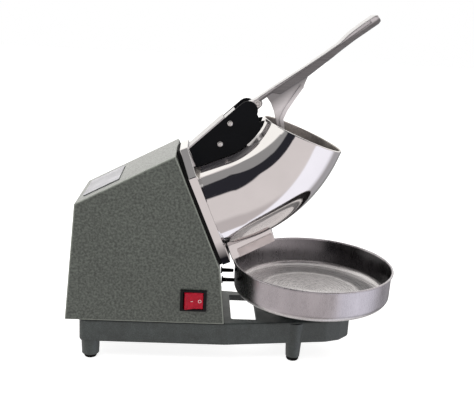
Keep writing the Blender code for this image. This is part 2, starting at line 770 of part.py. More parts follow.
block_low = BRACKET_IN - 0.4
block = prism(
    "hinge_block",
    [side_point(0.4, -62.9)]
    + bend_edge(87.0, 87.6, TILT - 90, -44, 5)
    + [(5.0, 325.0), (-4.0, 336.0), on_strap(70, -3.2), on_strap(0.3, -3.2)],
    -block_low, block_low, SIDE, "satin",
)
strap = prism(
    "top_strap", [on_strap(1, 0.3), on_strap(62, 0.3), on_strap(62, 2.3), on_strap(1, 2.3)],
    -BRACKET_OUT, BRACKET_OUT, SIDE, "satin",
)
tongue = prism(
    "strap_tongue",
    [on_strap(56, -2.6), on_strap(80, -2.6), on_strap(80, -0.6), on_strap(61, -0.6),
     on_strap(61, 1.5), on_strap(56, 1.5)],
    -block_low, block_low, SIDE,
)
join(strap, tongue)
for number, (x, z) in enumerate(BRACKET_SCREWS, 1):
    for sign, side in ((-1, "near"), (1, "far")):
        bore = cylinder(f"bracket_bore_{side}{number}", SCREW_HOLE_R, 24, (x, sign * 15, z),
                        (0, 1, 0), sides=16)
        cut(bpy.data.objects[f"bracket_{side}"], bore)
        cut(block, bore)
        lathe(
            f"bracket_screw_{side}_{number}",
            [(0, 2.6), (2.4, 2.4), (3.7, 1.2), (3.7, GAP), (2.0, GAP), (2.0, -10), (0, -10)],
            (x, sign * BRACKET_OUT, z), (0, sign, 0), "steel", 14,
        )
pin = cylinder("hinge_pin", PIN_R, 2 * BRACKET_IN + 3.6, pivot, (0, 1, 0), "steel", sides=24)

# ---------------------------------------------------------------- lever
rise = math.radians(LEVER_RISE)
lever_way = Vector((math.cos(rise), 0, math.sin(rise)))
lever_up = Vector((-math.sin(rise), 0, math.cos(rise)))
LEVER = frame(lever_way, lever_up, Vector((0, -1, 0)), pivot)


bm = bmesh.new()
rings = []
for u, under, top, wide in LEVER_SECTIONS:
    rings.append([
        bm.verts.new((u * MM, v * MM, w * MM))
        for v, w in ((under, -wide), (under, wide), (top, wide), (top, -wide))
    ])
for first, second in zip(rings, rings[1:]):
    for i in range(4):
        bm.faces.new((first[i - 1], first[i], second[i], second[i - 1]))
bm.faces.new(rings[0])
bm.faces.new(rings[-1])
matrix = LEVER.copy()
matrix.translation = LEVER.translation * MM
bm.transform(matrix)
lever = object_from("lever_handle", bm, "satin")
bevel(lever, 1.6, 2, 40)
for sign, side in ((-1, "near"), (1, "far")):
    channel = prism(
        f"channel_{side}",
        CHANNEL, min(sign * CHANNEL_FLOOR, sign * 30), max(sign * CHANNEL_FLOOR, sign * 30), LEVER,
    )
    cut(lever, channel)
root = prism(
    "lever_root",
    arc((0, 0), EYE_R, 90, 270, 10) + arc((BOLT_ALONG, 0), 6.5, -90, 60, 8),
    -ROOT_HALF, ROOT_HALF, LEVER,
)
eye = cylinder("eye", EYE_R, 2 * (BRACKET_IN - 0.6), pivot, (0, 1, 0), sides=28)
groove = prism(
    "groove",
    [(-20, -20), (101, -20), (101, 2.4), (34, 2.4), (29, 4.2), (-20, 4.2)],
    -WEB_HALF - GAP, WEB_HALF + GAP, LEVER,
)
pin_hole = cylinder("pin_hole", PIN_R + GAP, 60, pivot, (0, 1, 0), sides=24)
bolt_spot = pivot + lever_way * BOLT_ALONG
bolt_hole = cylinder("bolt_hole", 2.8, 60, bolt_spot, (0, 1, 0), sides=16)
join(lever, root, eye)
cut(lever, groove, pin_hole, bolt_hole)
origin_at(lever, pivot)

cross_bolt = lathe(
    "cross_bolt",
    [(0, 14.2), (4.6, 14.2), (4.6, CHEEK), (2.5, CHEEK), (2.5, -14.4), (0, -14.4)],
    bolt_spot, (0, 1, 0), "steel", 20,
)
cross_nut = cylinder(
    "cross_nut", 5.2, 3.8, bolt_spot - Vector((0, CHEEK + 1.9, 0)), (0, 1, 0), "steel",
    sides=6,
)
cut(cross_nut, cylinder("nut_hole", 2.8, 20, bolt_spot - Vector((0, ROOT_HALF + 2, 0)), (0, 1, 0),
                        sides=16))

# ---------------------------------------------------------------- presser, drawn with the lever closed
closed = math.radians(LEVER_RISE - CLOSE_TURN)


def closed_point(u, v):
    return (
        PIVOT[0] + u * math.cos(closed) - v * math.sin(closed),
        PIVOT[1] + u * math.sin(closed) + v * math.cos(closed),
    )


outer_edge = [
    closed_point(97, 0.2), closed_point(91.5, -8.5), closed_point(79, -17.0),
    closed_point(62, -23.5), closed_point(44, -31.0), closed_point(33, -37.5),
    (PIVOT[0] + 15.5, PIVOT[1] - 54.0), (PIVOT[0] + 7.5, PIVOT[1] - 64.5),
    (PIVOT[0] + 4.0, PIVOT[1] - 78.0),
]
back_edge = bend_edge(96.0, 98.6, -60, mouth_angle - 0.5, 6)
web_outline = (
    arc(closed_point(BOLT_ALONG, -0.8), 4.6, 80, 260, 6)
    + [closed_point(20.8, -0.9), closed_point(30.5, -0.9)]
    + back_edge[::-1]
    + [side_point(FOOT_FACE + 1, FOOT_TOP + 2), side_point(FOOT_FACE + 1, -20),
       side_point(FOOT_FACE + FOOT_THICK + 4, -20)]
    + outer_edge[::-1]
    + [closed_point(97, 2.0), closed_point(35, 2.0), closed_point(22, 3.8)]
)
web = prism("ice_presser", web_outline, -WEB_HALF, WEB_HALF, SIDE, "satin")
flange = prism(
    "web_flange", strip(outer_edge[2:], -5.0), -8.0, 8.0, SIDE
)
foot = prism(
    "presser_foot",
    rounded(
        [(FOOT_TOP, -14), (FOOT_LOW, -29), (FOOT_LOW, 29), (FOOT_TOP, 14)], [4, 8, 8, 4], 4
    ),
    FOOT_FACE, FOOT_FACE + FOOT_THICK, AXIAL,
)
bevel(foot, 1.2, 2, 60)
join(web, flange, foot)
for number, q in enumerate(FOOT_GROOVES, 1):
    centre = along(FOOT_FACE, q)
    cut(web, box(f"foot_groove_{number}", (3.0, 80, 3.0), centre,
                 turn=Matrix.Rotation(math.radians(-TILT), 3, "Y")))
back = Matrix.Translation(pivot * MM) @ Matrix.Rotation(
    math.radians(-CLOSE_TURN), 4, "Y") @ Matrix.Translation(-pivot * MM)
presser_hole = cylinder("presser_hole", 2.8, 60, bolt_spot, (0, 1, 0), sides=16)
helpers = [bpy.data.objects[n] for n in (
    "web_flange", "presser_foot", "foot_groove_1", "foot_groove_2", "foot_groove_3")]
for obj in (web, *helpers):
    obj.data.transform(back)
cut(web, presser_hole)
origin_at(web, pivot)

# ---------------------------------------------------------------- catch pan and its rests
lathe(
    "catch_pan",
    [
        (0, 1.4), (70, 1.4), (71, 2.2), (74, 2.2), (75, 1.4), (100.6, 1.4), (104.8, 2.4),
        (108.6, 5.4), (110.6, 10.4), (111.8, 42.0), (112.2, 44.6), (113.2, 45.7), (114.4, 45.3),
        (115.0, 44.0), (114.6, 42.6), (113.4, 42.0), (112.2, 10.6), (110.2, 5.0), (106.2, 1.2),
        (101.2, 0), (0, 0),
    ],
    (PAN_X, 0, PAN_FLOOR), (0, 0, 1), "brushed", 56,
)
lathe(
    "pan_pedestal",
    [(PEDESTAL_R - 1, PAN_FLOOR - GAP), (PEDESTAL_R, PAN_FLOOR - GAP - 1),
     (PEDESTAL_R, BASE_TOP + GAP), (PEDESTAL_R - PEDESTAL_WALL, BASE_TOP + GAP),
     (PEDESTAL_R - PEDESTAL_WALL, PAN_FLOOR - GAP)],
    (PAN_X, 0, 0), (0, 0, 1), "black", 32,
)
panel_way = Vector(HOUSING_KNEE) - Vector(HOUSING_FRONT_BOTTOM)
stop_rise = (STOP_HEIGHT - HOUSING_FRONT_BOTTOM[1]) / panel_way.y
stop_x = HOUSING_FRONT_BOTTOM[0] + panel_way.x * stop_rise
for sign, side in ((-1, "near"), (1, "far")):
    lathe(
        f"pan_stop_{side}",
        [(0, 19.5), (2.0, 19.5), (2.6, 18.5), (3.0, 3.0), (5.0, 2.6), (5.0, 0.9), (0, 0.9)],
        (stop_x, sign * STOP_HALF, STOP_HEIGHT), (1, 0, 0), "rubber", 16,
    )

# ---------------------------------------------------------------- rocker switch
switch_body = box(
    "switch_body", (SWITCH_W - 6, 26, SWITCH_H - 4), (SWITCH[0], -HOUSING_HALF + 10.7, SWITCH[1]),
    "black",
)
bezel = box(
    "bezel", (SWITCH_W, 2.6, SWITCH_H), (SWITCH[0], -HOUSING_HALF - GAP - 1.3, SWITCH[1])
)
bevel(bezel, 0.9, 2, 40)
well = box(
    "well", (ROCKER_W + 0.8, 20, ROCKER_H + 0.8), (SWITCH[0], -HOUSING_HALF, SWITCH[1])
)
join(switch_body, bezel)
cut(switch_body, well)
rocker_pivot = Vector((SWITCH[0], -HOUSING_HALF + ROCKER_DEPTH, SWITCH[1]))
rocker_plan = [
    (0.0, -3.6), (ROCKER_W / 2 - 0.9, -6.0), (ROCKER_W / 2 - 0.9, 2.6), (5.0, 5.0), (-5.0, 5.0),
    (-ROCKER_W / 2 + 0.9, 2.6), (-ROCKER_W / 2 + 0.9, -6.0),
]
rocker = prism(
    "rocker_button", rocker_plan, -ROCKER_H / 2 + 0.1, ROCKER_H / 2 - 0.1,
    Matrix.Translation(rocker_pivot), "red",
)
bevel(rocker, 0.5, 2, 50)
tip = Matrix.Translation(rocker_pivot * MM) @ Matrix.Rotation(
    math.radians(ROCKER_TILT), 4, "Z") @ Matrix.Translation(-rocker_pivot * MM)
rocker.data.transform(tip)
origin_at(rocker, rocker_pivot)

# ---------------------------------------------------------------- plain plate on the sloped top
top_turn = frame(
    Vector((top_way.x, 0, top_way.y)), Vector((0, 1, 0)), Vector((-top_way.y, 0, top_way.x)),
    Vector((HOUSING_REAR_TOP[0], 0, HOUSING_REAR_TOP[1])),
)
plate_low, plate_high, plate_near, plate_far = TOP_PLATE
prism(
    "top_plate",
    rounded([(plate_low, plate_near), (plate_high, plate_near), (plate_high, plate_far),
             (plate_low, plate_far)], 2.5, 3),
    GAP, GAP + 0.8, top_turn, "white",
)
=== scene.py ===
"""Looks of the shaved ice machine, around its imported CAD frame.
Lengths are in millimetres and become metres through MM; +X is the front, Z is up."""

import json
import math

import bmesh
import bpy
from mathutils import Matrix, Vector


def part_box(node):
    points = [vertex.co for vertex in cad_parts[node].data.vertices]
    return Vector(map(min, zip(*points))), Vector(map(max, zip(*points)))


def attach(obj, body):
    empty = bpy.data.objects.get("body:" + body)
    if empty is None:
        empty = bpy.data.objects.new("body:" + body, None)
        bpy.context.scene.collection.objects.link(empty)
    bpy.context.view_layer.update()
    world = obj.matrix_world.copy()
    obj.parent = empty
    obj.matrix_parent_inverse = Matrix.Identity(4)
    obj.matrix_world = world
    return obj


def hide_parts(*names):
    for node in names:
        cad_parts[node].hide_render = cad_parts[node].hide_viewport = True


MM = 0.001

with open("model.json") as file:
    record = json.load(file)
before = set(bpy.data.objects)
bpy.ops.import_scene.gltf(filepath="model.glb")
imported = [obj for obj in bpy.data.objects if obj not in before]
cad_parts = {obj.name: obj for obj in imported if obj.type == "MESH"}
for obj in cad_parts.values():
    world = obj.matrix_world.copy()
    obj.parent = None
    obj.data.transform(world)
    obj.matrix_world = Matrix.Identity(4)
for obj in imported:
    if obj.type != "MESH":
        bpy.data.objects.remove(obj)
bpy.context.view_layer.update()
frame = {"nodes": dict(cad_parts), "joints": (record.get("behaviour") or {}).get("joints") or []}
NODES = frame["nodes"]


def joint_at(name):
    """Where a CAD joint stands, in millimetres."""
    return Vector(next(j["pos_m"] for j in frame["joints"] if j["name"] == name)) / MM


# Motor and hopper axis: it leaves the front plate at FACE and rises by TILT degrees
TILT = 23.3
FACE = joint_at("rotor_spin")

# Hopper elbow: its path, walls, inner lip and ice outlet
TUBE_R = 62.5
TUBE_MOUTH_R = 58.5
TUBE_WALL = 3.0
TUBE_STRAIGHT = 39.4
TUBE_BEND_R = 150.0
TUBE_TURN = 46.0
TUBE_MOUTH_STRAIGHT = 7.0
TUBE_LIP_R = 50.0
TUBE_LIP = 8.0
TUBE_SIDES = 160
BEND_STEPS = 56
JOINT_GAP = 0.3
LIP_ROUND = 0.8
LIP_FILLET = 1.2
OUTLET = [(30.0, -24.0), (80.0, -24.0), (80.0, 24.0), (30.0, 24.0)]
OUTLET_ALONG = (9.0, 29.0)
OUTLET_CORNER = 3.0

# Front plate, in its own plane: down is positive
PLATE_THICK = 11.0
PLATE_TOP = -94.0
PLATE_BOTTOM = 68.5
PLATE_HALF = 64.0
PLATE_CHAMFER = 35.0
PLATE_CORNERS = [4.0, 4.0, 6.0, 6.0, 4.0, 4.0]
PLATE_HOLE_R = 12.3

# Housing outline in the side plane, (x, z)
HOUSING_LINE = [(-224.5, 60.3), (-7.0, 60.3), (-16.5, 141.5), (-81.0, 293.5), (-211.0, 224.0)]

# Distances from the middle, across, where the painted edge highlight on the housing starts and is
# full
HOUSING_EDGE = (61.5, 63.0)

# Lever
PIVOT = joint_at("lever_hinge")
LEVER_RISE = 37.0
WEB_RISE = 40.0

# Catch pan
PAN_WALL = 1.4
PAN_BEAD = 1.55
PAN_SHOULDER = 2.6
PAN_HEEL = 9.0
# Painted light on the pan floor: the bright disc gives way to a darker ring between the PAN_DISC
# radii, and the ring gives way to a bright heel band between the PAN_FILLET distances in from the
# wall
PAN_DISC = (70.0, 77.5)
PAN_FILLET = (16.0, 11.0)

# Bracket screws
SCREW_HEAD_R = 3.7
SCREW_HEAD = 2.3
SCREW_R = 2.0
SCREW_DOME = 0.62
SCREW_TURN = 20.0
RECESS_HALF = 0.42
RECESS_DEPTH = 1.3

# Marks on the rocker: x from its pivot, on the two sloping halves
ROCKER_AT = joint_at("rocker_tilt")
ROCKER_TURN = 10.0
ROCKER_SLOPE = 0.19
ROCKER_FACE = -3.6
MARK_HEIGHT = -0.6
MARK_RELIEF = (-0.1, 0.12)
BAR_AT, BAR = -2.9, [(-1.7, -0.4), (1.7, -0.4), (1.7, 0.4), (-1.7, 0.4)]
RING_AT, RING_RADII = 7.9, (2.3, 1.65)

# Camera, fitted to the object's edges
CAMERA_AT = Vector((-53.4, -976.1, 485.0))
CAMERA_TARGET = Vector((-1.8, 0.0, 210.8))
CAMERA_LENS = 54.87
CAMERA_ROLL = 3.17
CAMERA_SHIFT = 0.0108

ALONG = Vector((math.cos(math.radians(TILT)), 0.0, math.sin(math.radians(TILT))))
DOWN = Vector((math.sin(math.radians(TILT)), 0.0, -math.cos(math.radians(TILT))))
SIDE = Vector((0.0, -1.0, 0.0))


def along(s, q=0.0, y=0.0):
    """A point s ahead of the front plate's face, q below the motor axis and y across."""
    return FACE + ALONG * s + DOWN * q + Vector((0.0, y, 0.0))


# ---------------------------------------------------------------- materials
class Paint:
    """A procedural material under construction: a Principled shader and the nodes that feed it."""

    def __init__(self, name, colour, rough=0.5, metal=0.0, coat=0.0, coat_rough=0.1,
                 specular=0.5):
        self.material = bpy.data.materials.new(name)
        self.material.use_nodes = True
        self.tree = self.material.node_tree
        self.shader = self.tree.nodes["Principled BSDF"]
        self.set("Base Color", (*colour, 1.0))
        self.set("Roughness", rough)
        self.set("Metallic", metal)
        self.set("Coat Weight", coat)
        self.set("Coat Roughness", coat_rough)
        self.set("Specular IOR Level", specular)
        self.material.diffuse_color = (*colour, 1.0)
        self.place = self.tree.nodes.new("ShaderNodeTexCoord").outputs["Object"]

    def set(self, socket, value):
        self.shader.inputs[socket].default_value = value

    def node(self, kind, inputs=None, **settings):
        made = self.tree.nodes.new(kind)
        for key, value in settings.items():
            setattr(made, key, value)
        for key, value in (inputs or {}).items():
            if isinstance(value, bpy.types.NodeSocket):
                self.tree.links.new(value, made.inputs[key])
            else:
                made.inputs[key].default_value = value
        return made

    def mapped(self, scale=(1, 1, 1), turn=(0, 0, 0), move=(0, 0, 0), source=None):
        return self.node(
            "ShaderNodeMapping",
            {"Vector": source or self.place, "Scale": scale, "Location": move,
             "Rotation": [math.radians(a) for a in turn]},
        ).outputs[0]

    def noise(self, scale, detail=3.0, rough=0.5, source=None, distortion=0.0):
        return self.node(
            "ShaderNodeTexNoise",
            {"Vector": source or self.place, "Scale": scale, "Detail": detail,
             "Roughness": rough, "Distortion": distortion},
        ).outputs["Fac"]

    def spread(self, value, low, high, to_low=0.0, to_high=1.0):
        return self.node(
            "ShaderNodeMapRange",
            {"Value": value, "From Min": low, "From Max": high, "To Min": to_low,
             "To Max": to_high},
        ).outputs[0]

    def sum(self, operation, first, second=0.0):
        return self.node("ShaderNodeMath", {0: first, 1: second}, operation=operation).outputs[0]

    def product(self, first, *others):
        for other in others:
            first = self.sum("MULTIPLY", first, other)
        return first

    def blended(self, first, second, share):
        """The first value times share, plus the second times the rest."""
        return self.sum("ADD", self.product(first, share), self.product(second, 1 - share))

    def length(self, *parts):
        total = self.product(parts[0], parts[0])
        for part in parts[1:]:
            total = self.sum("ADD", total, self.product(part, part))
        return self.sum("SQRT", total)

    def reach(self, direction, start):
        """How far a point lies along a direction from start, in metres."""
        dot = self.node(
            "ShaderNodeVectorMath", {0: self.place, 1: direction}, operation="DOT_PRODUCT"
        ).outputs["Value"]
        return self.sum("SUBTRACT", dot, start.dot(direction) * MM)

    def dimmed(self, tone, share):
        """A colour times one number."""
        grey = self.node("ShaderNodeCombineColor", {0: share, 1: share, 2: share}).outputs[0]
        return self.node(
            "ShaderNodeMix", {"Factor": 1.0, "A": tone, "B": grey},
            data_type="RGBA", blend_type="MULTIPLY",
        ).outputs["Result"]

    def mix(self, factor, first, second):
        return self.node(
            "ShaderNodeMix", {"Factor": factor, "A": first, "B": second}, data_type="RGBA"
        ).outputs["Result"]

    def colour(self, value, stops):
        """A colour ramp: stops are (position, colour)."""
        ramp = self.node("ShaderNodeValToRGB", {"Fac": value})
        band = ramp.color_ramp
        while len(band.elements) < len(stops):
            band.elements.new(0.5)
        for element, (position, shade) in zip(band.elements, stops):
            element.position = position
            element.color = (*shade, 1.0)
        return ramp.outputs["Color"]

    def feed(self, socket, value):
        self.tree.links.new(value, self.shader.inputs[socket])

    def bump(self, height, distance, strength=1.0, after=None):
        """Relief of this many metres; it can be laid over an earlier one."""
        made = self.node(
            "ShaderNodeBump", {"Height": height, "Distance": distance, "Strength": strength}
        )
        if after:
            self.tree.links.new(after, made.inputs["Normal"])
        self.tree.links.new(made.outputs[0], self.shader.inputs["Normal"])
        return made.outputs[0]


def scaled(colour, factor):
    return tuple(channel * factor for channel in colour)


def hammered(name="hammered_paint", colour=(0.076, 0.090, 0.076), edge_highlight=(0.30, 0.33, 0.29)):
    """Hammered enamel: soft dimples under a clear coat, with a painted highlight along the sheet's
    edges.
    """
    paint = Paint(name, colour, 0.5, 0.15, coat=0.7, coat_rough=0.16)
    dimple = paint.noise(330, 2, 0.45)
    fine = paint.noise(1100, 3, 0.6)
    cloud = paint.noise(14, 2)
    mottle = paint.blended(dimple, fine, 0.7)
    tone = paint.colour(
        mottle, [(0.36, scaled(colour, 0.5)), (0.5, colour), (0.64, scaled(colour, 1.6))]
    )
    shade = paint.dimmed(tone, paint.spread(cloud, 0.3, 0.7, 0.93, 1.07))
    across = paint.node("ShaderNodeSeparateXYZ", {0: paint.place}).outputs[1]
    outward = None
    for (x0, z0), (x1, z1) in zip(HOUSING_LINE, HOUSING_LINE[1:] + HOUSING_LINE[:1]):
        normal = Vector((z1 - z0, 0.0, x0 - x1)).normalized()
        reach = paint.reach(normal, Vector((x0, 0.0, z0)))
        outward = paint.sum("MAXIMUM", outward, reach) if outward else reach
    # Painted highlight: paler paint within about 2 mm of the outline, near the side faces, along
    # the sheet's edges
    edge_low, edge_high = (y * MM for y in HOUSING_EDGE)
    edge_highlight_mask = paint.product(
        paint.spread(outward, -0.0024, -0.0008),
        paint.spread(paint.sum("ABSOLUTE", across), edge_low, edge_high),
        paint.spread(paint.noise(60, 3), 0.3, 0.6, 0.65, 1.0),
    )
    paint.feed("Base Color", paint.mix(edge_highlight_mask, shade, (*edge_highlight, 1.0)))
    paint.feed("Roughness", paint.spread(mottle, 0.36, 0.64, 0.58, 0.44))
    paint.bump(mottle, 0.00022, 0.5)
    return paint.material


def casting(name="casting_paint", colour=(0.058, 0.069, 0.067)):
    """Painted rough casting: sandy grain under satin paint."""
    paint = Paint(name, colour, 0.5, 0.2, coat=0.25, coat_rough=0.35)
    sand = paint.noise(700, 6, 0.7)
    lumps = paint.noise(90, 3, 0.5)
    grain = paint.blended(sand, lumps, 0.7)
    paint.feed("Base Color", paint.colour(
        grain, [(0.35, scaled(colour, 0.6)), (0.5, colour), (0.68, scaled(colour, 1.7))]))
    paint.feed("Roughness", paint.spread(lumps, 0.3, 0.7, 0.42, 0.6))
    paint.bump(grain, 0.0006, 0.55)
    return paint.material


# Colour of a painted dark reflection on the front plate's lower end
DARK_REFLECTION_TONE = (0.012, 0.012, 0.016)


def polished(name="polished_aluminium", colour=(0.78, 0.76, 0.755), dark_reflection=None, mouth=None):
    """Buffed aluminium: a mirror with faint clouds and hair scratches.
    The third argument gives the depths below the motor axis over which a painted dark reflection
    covers the plate's lower end; mouth is the bend's centre, for the satin inside."""
    paint = Paint(name, colour, 0.06, 1.0)
    cloud = paint.noise(22, 3)
    hair = paint.noise(1, 2, 0.5, paint.mapped((140, 1800, 140), (0, -TILT, 0)))
    tone = paint.colour(cloud, [(0.3, scaled(colour, 0.97)), (0.7, scaled(colour, 1.02))])
    # Painted dark reflection: the plate darkens towards its lower end
    if dark_reflection:
        start, end = (q * MM for q in dark_reflection)
        dark_reflection_mask = paint.spread(paint.reach(DOWN, FACE), start, end)
        tone = paint.mix(dark_reflection_mask, tone, (*DARK_REFLECTION_TONE, 1.0))
    rough = paint.sum("ADD", paint.spread(cloud, 0.3, 0.7, 0.035, 0.075),
                      paint.spread(hair, 0.55, 0.8, 0.0, 0.05))
    if mouth:
        parts = paint.node("ShaderNodeSeparateXYZ", {0: paint.mapped(move=-mouth * MM)}).outputs
        offset = paint.sum("SUBTRACT", paint.length(parts[0], parts[2]), TUBE_BEND_R * MM)
        spoke = paint.length(offset, parts[1])
        inner = (TUBE_MOUTH_R - TUBE_WALL / 2) * MM
        inside = paint.spread(spoke, inner - 0.0004, inner, 1.0, 0.0)
        tone = paint.mix(inside, tone, paint.colour(
            paint.noise(500, 3), [(0.35, (0.42, 0.39, 0.37)), (0.65, (0.56, 0.53, 0.50))]))
        rough = paint.sum("ADD", rough, paint.product(inside, 0.3))
    paint.feed("Base Color", tone)
    paint.feed("Roughness", rough)
    paint.bump(hair, 0.00001, 0.25, paint.bump(paint.noise(9, 1), 0.0012, 0.10))
    return paint.material


def brushed(name, colour, turn, rough=0.28, contrast=0.25, across=1400.0, painted_shade=None):
    """Metal ground in one direction: fine lines along the X axis of the turned coordinates.
    The last argument is painted shade: (from, to, share at from, share at to) across the lever,
    measured from its pivot."""
    paint = Paint(name, colour, rough, 1.0)
    lines = paint.noise(1, 4, 0.65, paint.mapped((14, across, across), turn))
    broad = paint.noise(1, 2, 0.5, paint.mapped((8, across / 9, across / 9), turn))
    both = paint.blended(lines, broad, 0.6)
    tone = paint.colour(
        both, [(0.3, scaled(colour, 1 - contrast)), (0.7, scaled(colour, 1 + contrast * 0.5))])
    # Painted shade: the colour is dimmed on one side of a line through the lever's pivot
    if painted_shade:
        rise = math.radians(LEVER_RISE)
        upward = Vector((-math.sin(rise), 0.0, math.cos(rise)))
        start, end, at_start, at_end = painted_shade
        tone = paint.dimmed(tone, paint.spread(
            paint.reach(upward, PIVOT), start * MM, end * MM, at_start, at_end))
    paint.feed("Base Color", tone)
    paint.feed("Roughness", paint.spread(both, 0.3, 0.7, rough * 0.75, rough * 1.3))
    paint.bump(lines, 0.00003, 0.5)
    return paint.material


def spun(name, colour, centre, wall_low, wall_r):
    """Spun steel pan: upright streaks on the wall and rings on the floor, with painted light and
    shade: a bright floor disc and heel band, a darker ring between them, and an inner wall darker
    towards the front.
    """
    paint = Paint(name, colour, 0.26, 1.0)
    spot = paint.mapped(move=(-centre.x, -centre.y, 0))
    x, y, z = paint.node("ShaderNodeSeparateXYZ", {0: spot}).outputs
    angle = paint.sum("ARCTAN2", y, x)
    radius = paint.length(x, y)
    streak_at = paint.node("ShaderNodeCombineXYZ", {0: angle, 1: paint.product(z, 2.0)}).outputs[0]
    ring_at = paint.node(
        "ShaderNodeCombineXYZ", {0: radius, 1: paint.product(angle, 0.004)}
    ).outputs[0]
    streaks = paint.blended(
        paint.noise(70, 5, 0.7, streak_at), paint.noise(6, 2, 0.5, streak_at), 0.55)
    on_wall = paint.spread(z, wall_low, wall_low + 0.004)
    tone = paint.node(
        "ShaderNodeMix", {"Factor": on_wall, "A": paint.noise(900, 4, 0.6, ring_at), "B": streaks},
        data_type="FLOAT",
    ).outputs["Result"]

    def band(*stops):
        return paint.colour(tone, [(0.28, stops[0]), *((0.5, s) for s in stops[1:-1]),
                                   (0.72, stops[-1])])

    outer = band(scaled(colour, 0.78), scaled(colour, 1.05), scaled(colour, 1.3))
    # Painted shade on the inner wall: bright towards the back, dark towards the front
    left, right = (
        band(scaled(colour, share * 0.75), scaled(colour, share * 1.3)) for share in (0.75, 0.11)
    )
    inner = paint.mix(paint.spread(x, -0.07, 0.06), left, right)
    # Painted light and shade on the floor: a bright disc and heel band, and a darker ring between
    # them, weaker towards the back
    lit = band((0.70, 0.68, 0.68), (0.90, 0.87, 0.87))
    painted_dark_ring = band((0.34, 0.33, 0.335), (0.48, 0.47, 0.475))
    disc_edge, ring_start = (r * MM for r in PAN_DISC)
    fillet_start, fillet_end = (wall_r - r * MM for r in PAN_FILLET)
    in_ring = paint.product(
        paint.spread(radius, disc_edge, ring_start),
        paint.spread(radius, fillet_start, fillet_end, 1.0, 0.0),
        paint.spread(x, -0.075, 0.03, 0.3, 1.0),
    )
    inside = paint.spread(radius, wall_r - 0.0010, wall_r - 0.0006, 1.0, 0.0)
    floor = paint.product(inside, paint.spread(z, wall_low - 0.004, wall_low + 0.001, 1.0, 0.0))
    wall = paint.mix(inside, outer, inner)
    paint.feed("Base Color", paint.mix(floor, wall, paint.mix(in_ring, lit, painted_dark_ring)))
    paint.feed("Metallic", paint.spread(floor, 0, 1, 1.0, 0.45))
    paint.feed("Roughness", paint.spread(tone, 0.3, 0.7, 0.22, 0.34))
    paint.bump(tone, 0.00004, 0.4)
    return paint.material


def cast_metal(name, colour, rough=0.38, grain=500.0, depth=0.0002):
    """Machined or die-cast metal with an even fine grain."""
    paint = Paint(name, colour, rough, 1.0)
    fine = paint.noise(grain, 4, 0.6)
    broad = paint.noise(40, 2)
    paint.feed("Base Color", paint.colour(
        fine, [(0.35, scaled(colour, 0.85)), (0.65, scaled(colour, 1.1))]))
    paint.feed("Roughness", paint.spread(broad, 0.3, 0.7, rough * 0.8, rough * 1.25))
    paint.bump(fine, depth, 0.3)
    return paint.material


def moulded(name, colour, rough=0.5, grain=1200.0, coat=0.0, depth=0.00015, shine=0.5):
    """Plastic, rubber or black paint with a fine moulded grain."""
    paint = Paint(name, colour, rough, 0.0, coat=coat, coat_rough=0.15, specular=shine)
    fine = paint.noise(grain, 3, 0.6)
    broad = paint.noise(35, 2)
    paint.feed("Base Color", paint.colour(
        broad, [(0.3, scaled(colour, 0.8)), (0.7, scaled(colour, 1.25))]))
    paint.feed("Roughness", paint.spread(fine, 0.3, 0.7, rough * 0.85, rough * 1.2))
    paint.bump(fine, depth, 0.3)
    return paint.material


def rocker_red(name="switch_red", colour=(0.50, 0.008, 0.030)):
    """Translucent red plastic of a lit rocker: glossy and a little cloudy inside."""
    paint = Paint(name, colour, 0.35, 0.0, coat=0.08, coat_rough=0.1, specular=0.2)
    paint.set("Subsurface Weight", 0.25)
    paint.set("Subsurface Scale", 0.004)
    cloud = paint.noise(160, 3)
    paint.feed("Base Color", paint.colour(
        cloud, [(0.3, scaled(colour, 0.75)), (0.7, scaled(colour, 1.2))]))
    paint.bump(paint.noise(700, 2), 0.0001, 0.15)
    return paint.material


MATERIALS = {
    "hammered": hammered(),
    "casting": casting(),
    "polished": polished(),
    "hopper": polished("hopper_aluminium", mouth=along(TUBE_STRAIGHT, -TUBE_BEND_R)),
    # The front plate carries a painted dark reflection on its lower end
    "plate": polished("plate_aluminium", dark_reflection=(34.0, 58.0)),
    # Painted shade on the lever's lower side, and a painted shadow of the lever on the web, darkest
    # next to the lever
    "satin_lever": brushed("satin_lever", (0.66, 0.65, 0.665), (0, LEVER_RISE, 0), 0.25, 0.35,
                           painted_shade=(2.4, 4.6, 0.30, 1.0)),
    "satin_web": brushed("satin_web", (0.86, 0.85, 0.865), (0, WEB_RISE, 0), 0.34, 0.12,
                         painted_shade=(-24.0, -9.0, 1.0, 0.35)),
    "satin": brushed("satin_aluminium", (0.60, 0.59, 0.60), (0, WEB_RISE, 0), 0.28, 0.18),
    "motor_cast": cast_metal("motor_aluminium", (0.42, 0.42, 0.42), 0.45),
    "motor_steel": brushed("motor_steel", (0.34, 0.34, 0.36), (0, 0, 0), 0.35),
    "steel": cast_metal("machined_steel", (0.46, 0.46, 0.47), 0.26, 900.0, 0.00008),
    "blade": brushed("ground_steel", (0.60, 0.60, 0.61), (0, 0, 90), 0.16),
    "iron": cast_metal("core_iron", (0.10, 0.09, 0.085), 0.55),
    "chrome": cast_metal("bright_screw", (0.62, 0.61, 0.60), 0.18, 1500.0, 0.00005),
    "black_paint": moulded("black_paint", (0.003, 0.0036, 0.0048), 0.55, 900.0,
                           depth=0.00008, shine=0.12),
    "black_plastic": moulded("black_plastic", (0.004, 0.004, 0.005), 0.42, shine=0.2),
    "rubber": moulded("black_rubber", (0.006, 0.006, 0.006), 0.8, 1600.0, shine=0.15),
    "pale": moulded("pale_label", (0.82, 0.73, 0.72), 0.4, 500.0, depth=0.00004),
    "label": moulded("top_label", (0.40, 0.40, 0.43), 0.35, 400.0, depth=0.00004),
    "white_ink": moulded("white_ink", (0.75, 0.66, 0.66), 0.5, 700.0, depth=0.00003),
    "red": rocker_red(),
}


